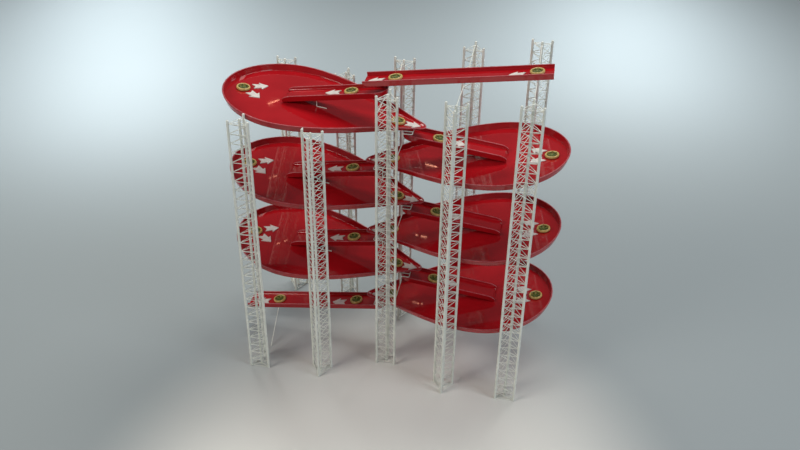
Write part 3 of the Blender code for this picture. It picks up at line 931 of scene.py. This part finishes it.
def ring_mesh():
    """The yellow tube with its floor, and six small pads on its top."""
    tube = [(TUBE_MIDDLE + TUBE_HALF * point.x, RAFT_HEIGHT / 2 * (1 + point.y))
            for point in arc((0, 0), 1.0, -80, 200, RING_STEPS)]
    floor = [(TUBE_MIDDLE - TUBE_HALF, RAFT_FLOOR), (0, RAFT_FLOOR)]
    bm = bmesh.new()
    add_turned(bm, [(0, 0), *tube, *floor], RING_SIDES)
    for seat in range(SEATS):
        angle = math.tau * (seat + 0.5) / SEATS
        out = Vector((math.cos(angle), math.sin(angle), 0))
        add_drop(bm, out * TUBE_MIDDLE + Vector((0, 0, PAD_AT)), PAD, (0.8, 1.5, 0.7),
                 Matrix.Rotation(angle, 4, "Z"))
    return bm


def seats_mesh():
    """Six green seats round a hub."""
    bm = bmesh.new()
    for seat in range(SEATS):
        angle = math.tau * seat / SEATS
        turn = Matrix.Rotation(angle, 4, "Z")
        add_drop(bm, turn @ Vector(CUSHION_AT), CUSHION, (1.15, 0.95, 0.5), turn)
        add_drop(bm, turn @ Vector(BACK_AT), BACK, (0.5, 1.15, 0.85), turn)
    add_drop(bm, HUB_AT, HUB, (1, 1, 0.6))
    return bm


def grips_mesh():
    """Small grips at the inner side of the ring, one between each two seats."""
    bm = bmesh.new()
    for seat in range(SEATS):
        angle = math.tau * (seat + 0.5) / SEATS
        turn = Matrix.Rotation(angle, 4, "Z")
        feet = [turn @ Vector((GRIP_AT, y, GRIP_FOOT)) for y in (-GRIP_HALF, GRIP_HALF)]
        tops = [foot + Vector((0, 0, GRIP_RISE)) for foot in feet]
        for start, end in ((feet[0], tops[0]), (tops[0], tops[1]), (tops[1], feet[1])):
            add_rod(bm, start, end, GRIP_WIRE, 6)
    return bm


def raft_parts():
    """The three meshes that every raft shares."""
    parts = []
    for kind, bm, material in (("ring", ring_mesh(), ring_vinyl), ("seats", seats_mesh(), seat_vinyl),
                               ("grips", grips_mesh(), grip_vinyl)):
        bmesh.ops.recalc_face_normals(bm, faces=bm.faces)
        mesh = bpy.data.meshes.new("raft_" + kind)
        bm.to_mesh(mesh)
        bm.free()
        mesh.materials.append(material)
        parts.append((kind, mesh))
    return parts


def add_raft(name, place, along, floor=TROUGH_FLOOR):
    """A raft on the floor of a tray, at a place down its slope."""
    spot = place @ Matrix.Translation((along, 0, floor + SEAT_GAP))
    for kind, mesh in RAFT_PARTS:
        place_piece(f"{name}_{kind}", mesh, spot, name if kind == "ring" else None)


RAFT_PARTS = raft_parts()
for level in range(1, DISHES + 1):
    add_raft("raft_dish_" + side_name(level), dish_frame(level), RAFT_ON_DISH, SHEET)
    add_raft("raft_neck_" + side_name(level), dish_frame(level), RAFT_ON_NECK, SHEET)
    add_raft("raft_ramp_" + side_name(level), ramp_frame(level), RAFT_ON_RAMP)
for number, along in enumerate(RAFTS_ON_TOP_CHUTE, 1):
    add_raft(f"raft_start_{number}", chute_frame(), along)
for number, along in enumerate(RAFTS_ON_EXIT_CHUTE, 1):
    add_raft(f"raft_exit_{number}", ramp_frame(DISHES + 1), along)
print("one raft has", sum(len(mesh.polygons) for kind, mesh in RAFT_PARTS), "faces")

# %% [markdown]
# ## Direction arrows
#
# White arrows with forked tails lie on the red floors. Each is cut from thin sheet, so it has a
# real edge that throws a small shadow. The outline needs only eight points. Solid faces come
# from extruding the outline, and a narrow bevel takes the sharpness off the cut edge.

# %% Arrows
ARROW_OUTLINE = ((14.5, 0.0), (-0.5, 12.5), (0.5, 6.2), (-14.0, 8.2), (-9.5, 0.0))
ARROW_THICK = 1.4 * MM
ARROW_BEVEL = 0.2 * MM
ARROW_ON_DISH = (-255.5 * MM, 18.5 * MM, math.radians(30))
ARROWS_TO_BACK = 2.5 * MM   # both arrows of a dish lie a little to the back
ARROW_ON_NECK = 30.5 * MM
ARROW_TO_FRONT = 6.0 * MM   # the arrows on both chutes lie by the near wall
ARROW_ON_RAMP = 113.0 * MM
ARROWS_ON_TOP_CHUTE = (-208.0 * MM, 33.0 * MM)
ARROWS_ON_EXIT_CHUTE = (111.5 * MM, 274.0 * MM)


def arrow_mesh():
    """A flat arrow that points along +X."""
    upper = [Vector(point) * MM for point in ARROW_OUTLINE]
    lower = [Vector((point.x, -point.y)) for point in reversed(upper[1:-1])]
    bm = bmesh.new()
    face = bm.faces.new([bm.verts.new((*point, 0)) for point in upper + lower])
    drawn = bmesh.ops.extrude_face_region(bm, geom=[face], use_keep_orig=True)["geom"]
    moved = [part for part in drawn if isinstance(part, bmesh.types.BMVert)]
    bmesh.ops.translate(bm, verts=moved, vec=(0, 0, ARROW_THICK))
    bmesh.ops.recalc_face_normals(bm, faces=bm.faces)
    bmesh.ops.bevel(bm, geom=list(bm.edges), offset=ARROW_BEVEL, segments=2, affect="EDGES")
    mesh = bpy.data.meshes.new("arrow")
    bm.to_mesh(mesh)
    bm.free()
    mesh.materials.append(styrene)
    return mesh


def add_arrow(name, place, spot, floor=TROUGH_FLOOR):
    """An arrow on the floor of a tray. spot is how far along and across it lies, and its turn."""
    along, across, angle = spot
    lie = Matrix.Translation((along, across, floor)) @ Matrix.Rotation(angle, 4, "Z")
    place_piece(name, ARROW, place @ lie)


ARROW = arrow_mesh()
for level in range(1, DISHES + 1):
    side, dish = side_name(level), dish_frame(level)
    along, across, angle = ARROW_ON_DISH
    back = ARROWS_TO_BACK if level % 2 else -ARROWS_TO_BACK
    add_arrow(f"arrow_dish_{side}_a", dish, (along, back + across, angle), SHEET)
    add_arrow(f"arrow_dish_{side}_b", dish, (along, back - across, -angle), SHEET)
    add_arrow("arrow_neck_" + side, dish, (ARROW_ON_NECK, 0, 0), SHEET)
    add_arrow("arrow_ramp_" + side, ramp_frame(level), (ARROW_ON_RAMP, 0, 0))
for number, along in enumerate(ARROWS_ON_TOP_CHUTE, 1):
    add_arrow(f"arrow_start_{number}", chute_frame(), (along, ARROW_TO_FRONT, 0))
for number, along in enumerate(ARROWS_ON_EXIT_CHUTE, 1):
    add_arrow(f"arrow_exit_{number}", ramp_frame(DISHES + 1), (along, ARROW_TO_FRONT, 0))
print("one arrow has", len(ARROW.polygons), "faces")

# %% [markdown]
# ## Backdrop paper and sky
#
# The model stands on blue-grey backdrop paper, with a pool of light painted into its colour in
# front. What a glossy floor mirrors decides how deep its red looks, so the sky around the model
# stays dim.

# %% Floor and sky
FLOOR_RADIUS = 14.0
# the middle and the size of the pool of light painted into the paper's colour
PAINTED_LIGHT_POOL_AT = (0.07, -0.48, 0.0)
PAINTED_LIGHT_POOL_SIZE = (0.8, 0.95, 1.0)
SKY_STRENGTH = 0.15


def add_floor():
    """A wide sheet of blue-grey backdrop paper, with a pool of light painted into its colour in
    front.
    """
    material, tree, shader = new_material("backdrop paper, painted pool of light")
    place = add_node(tree, "TexCoord")
    # the paper is paled towards this spot: a painted pool of light
    painted_pool = add_node(tree, "Mapping", {"vector_type": "TEXTURE", "Location": PAINTED_LIGHT_POOL_AT,
                                      "Scale": PAINTED_LIGHT_POOL_SIZE},
                    {"Vector": place.outputs["Object"]})
    painted_pool_fade = add_node(tree, "TexGradient", {"gradient_type": "SPHERICAL"},
                    {"Vector": painted_pool.outputs["Vector"]})
    colour = blend_colours(tree, painted_pool_fade.outputs["Fac"], "#929A9C", "#EEEDE6")
    tree.links.new(colour, shader.inputs["Base Color"])
    shader.inputs["Roughness"].default_value = 0.7
    bm = bmesh.new()
    bmesh.ops.create_circle(bm, cap_ends=True, segments=96, radius=FLOOR_RADIUS)
    mesh = bpy.data.meshes.new("studio_floor")
    bm.to_mesh(mesh)
    bm.free()
    mesh.materials.append(material)
    floor = bpy.data.objects.new("studio_floor", mesh)
    bpy.context.scene.collection.objects.link(floor)


def set_sky():
    """A dim, even, pale blue-grey surround, shown as it is, without a film look."""
    world = bpy.data.worlds.new("studio")
    bpy.context.scene.world = world
    world.use_nodes = True
    surround = world.node_tree.nodes["Background"]
    surround.inputs["Color"].default_value = linear("#C4D0D6")
    surround.inputs["Strength"].default_value = SKY_STRENGTH
    bpy.context.scene.view_settings.view_transform = "Standard"


add_floor()
set_sky()
print("the paper is", 2 * FLOOR_RADIUS, "m wide")

# %% [markdown]
# ## The camera
#
# The camera looks down at the front from a little to the right. Its place, its angle and its
# lens were worked out from the picture. It comes before the lamps, because six of them are
# placed by what it sees mirrored.

# %% Camera
CAMERA_AT = Vector((0.2594, -1.4166, 1.2030))
CAMERA_YAW = math.radians(9.975)        # turned to the left of +Y
CAMERA_DOWN = math.radians(32.870)
CAMERA_ROLL = math.radians(0.844)
CAMERA_LENS, SENSOR_WIDTH = 40.63, 36   # millimetres


def add_camera():
    """A camera at the picture's place, angle and lens."""
    look = Vector((-math.sin(CAMERA_YAW) * math.cos(CAMERA_DOWN),
                   math.cos(CAMERA_YAW) * math.cos(CAMERA_DOWN), -math.sin(CAMERA_DOWN)))
    level = Vector((math.cos(CAMERA_YAW), math.sin(CAMERA_YAW), 0))
    rise = level.cross(look)
    right = math.cos(CAMERA_ROLL) * level + math.sin(CAMERA_ROLL) * rise
    up = -math.sin(CAMERA_ROLL) * level + math.cos(CAMERA_ROLL) * rise
    camera = bpy.data.cameras.new("camera")
    camera.lens = CAMERA_LENS
    camera.sensor_width = SENSOR_WIDTH
    item = bpy.data.objects.new("camera", camera)
    turn = Matrix((right, up, -look)).transposed().to_4x4()
    item.matrix_world = Matrix.Translation(CAMERA_AT) @ turn
    bpy.context.scene.collection.objects.link(item)
    bpy.context.scene.camera = item


add_camera()
print("the camera is", round(CAMERA_AT.length, 2), "m from the foot of the model")

# %% [markdown]
# ## The lamps
#
# Most light comes from a wide lamp high behind the model, which leaves the far walls dark and
# draws a line along every rim. Weaker lamps at the front soften the shadows. Two low lamps
# brighten the paper behind, and the red doesn't mirror them. The picture shows one short warm
# glint on each dish's floor. A single lamp didn't put all six in place, so each dish has a tiny
# lamp that reaches it alone. The way from the camera to the glint is turned back at the floor,
# as by a mirror, and followed until it is well behind the model: there the lamp stands.

# %% Lamps
MIDDLE = (0, 0, 0.3)
LAMPS = {
    "back_softbox": {"at": (0.1, 1.15, 2.5), "aim": MIDDLE, "size": (2.2, 1.2),
                     "watts": 48, "hue": "#FFFDF8"},
    "key_softbox": {"at": (-1.6, -1.5, 1.9), "aim": MIDDLE, "size": (1.0, 0.8),
                    "watts": 29, "hue": "#FFF8F0"},
    "fill_softbox": {"at": (2.0, -0.9, 1.5), "aim": MIDDLE, "size": (1.0, 1.0),
                     "watts": 21, "hue": "#EEF4FF"},
}
BACKDROP_LAMPS = {
    "backdrop_left": {"at": (-1.26, 1.42, 0.6), "aim": (-1.266, 1.433, 0),
                      "size": (0.2, 1.7), "watts": 17, "hue": "#F4FAFF"},
    "backdrop_right": {"at": (0.52, 1.85, 0.62), "aim": (0.52, 1.86, 0), "size": (0.2, 1.4),
                       "watts": 14, "hue": "#F4FAFF"},
}
GLINTS = {1: (-216.9, -25.7), 2: (-69.8, 24.7), 3: (-224.5, -24.0), 4: (-54.7, 20.0),
          5: (-223.1, -14.8), 6: (-51.8, 26.8)}     # along and across each dish, in mm
GLINT_LAMPS_BACK = 1.4      # how far behind the middle of the model they stand
GLINT = {"aim": MIDDLE, "size": (0.044, 0.003), "watts": 0.0045, "hue": "#FFAD8C"}
GLINT_ROLL = math.radians(29)


def add_lamp(name, at, aim, size, watts, hue, roll=0.0):
    """A rectangular soft lamp aimed at a point."""
    lamp = bpy.data.lights.new(name, "AREA")
    lamp.shape = "RECTANGLE"
    lamp.size, lamp.size_y = size
    lamp.energy = watts
    lamp.color = linear(hue)[:3]
    item = bpy.data.objects.new(name, lamp)
    facing = (Vector(aim) - Vector(at)).to_track_quat("-Z", "Y").to_matrix().to_4x4()
    item.matrix_world = Matrix.Translation(at) @ facing @ Matrix.Rotation(roll, 4, "Z")
    item.visible_camera = False
    bpy.context.scene.collection.objects.link(item)
    return item


def mirrored_place(level, along, across):
    """The place behind the model that a spot of a dish's floor mirrors into the camera."""
    axes = dish_frame(level)
    spot = axes @ Vector((along, across, SHEET))
    normal = axes.to_3x3() @ Vector((0, 0, 1))
    sight = spot - CAMERA_AT
    onward = sight - 2 * sight.dot(normal) * normal
    return spot + onward * (GLINT_LAMPS_BACK - spot.y) / onward.y


def add_glint(level, along, across):
    """A tiny warm lamp that reaches a single dish and is mirrored in its floor."""
    roll = GLINT_ROLL if level % 2 else -GLINT_ROLL
    at = mirrored_place(level, along, across)
    lamp = add_lamp("glint_" + side_name(level), at, roll=roll, **GLINT)
    reached = bpy.data.collections.new("glint on " + side_name(level))
    reached.objects.link(bpy.data.objects[f"dish_{side_name(level)}_skin"])
    lamp.light_linking.receiver_collection = reached


for name, settings in LAMPS.items():
    add_lamp(name, **settings)
for name, settings in BACKDROP_LAMPS.items():
    add_lamp(name, **settings).visible_glossy = False
for level, (along, across) in GLINTS.items():
    add_glint(level, along * MM, across * MM)
print("lit by", len(bpy.data.lights), "lamps")

# %% [markdown]
# ## The box of the construction model
#
# The fine pieces must fill the same box as the construction model. That box is printed here.

# %% Print the construction box
bpy.context.view_layer.update()
print("construction box", [round(v, 4) for corner in cad_box for v in corner])
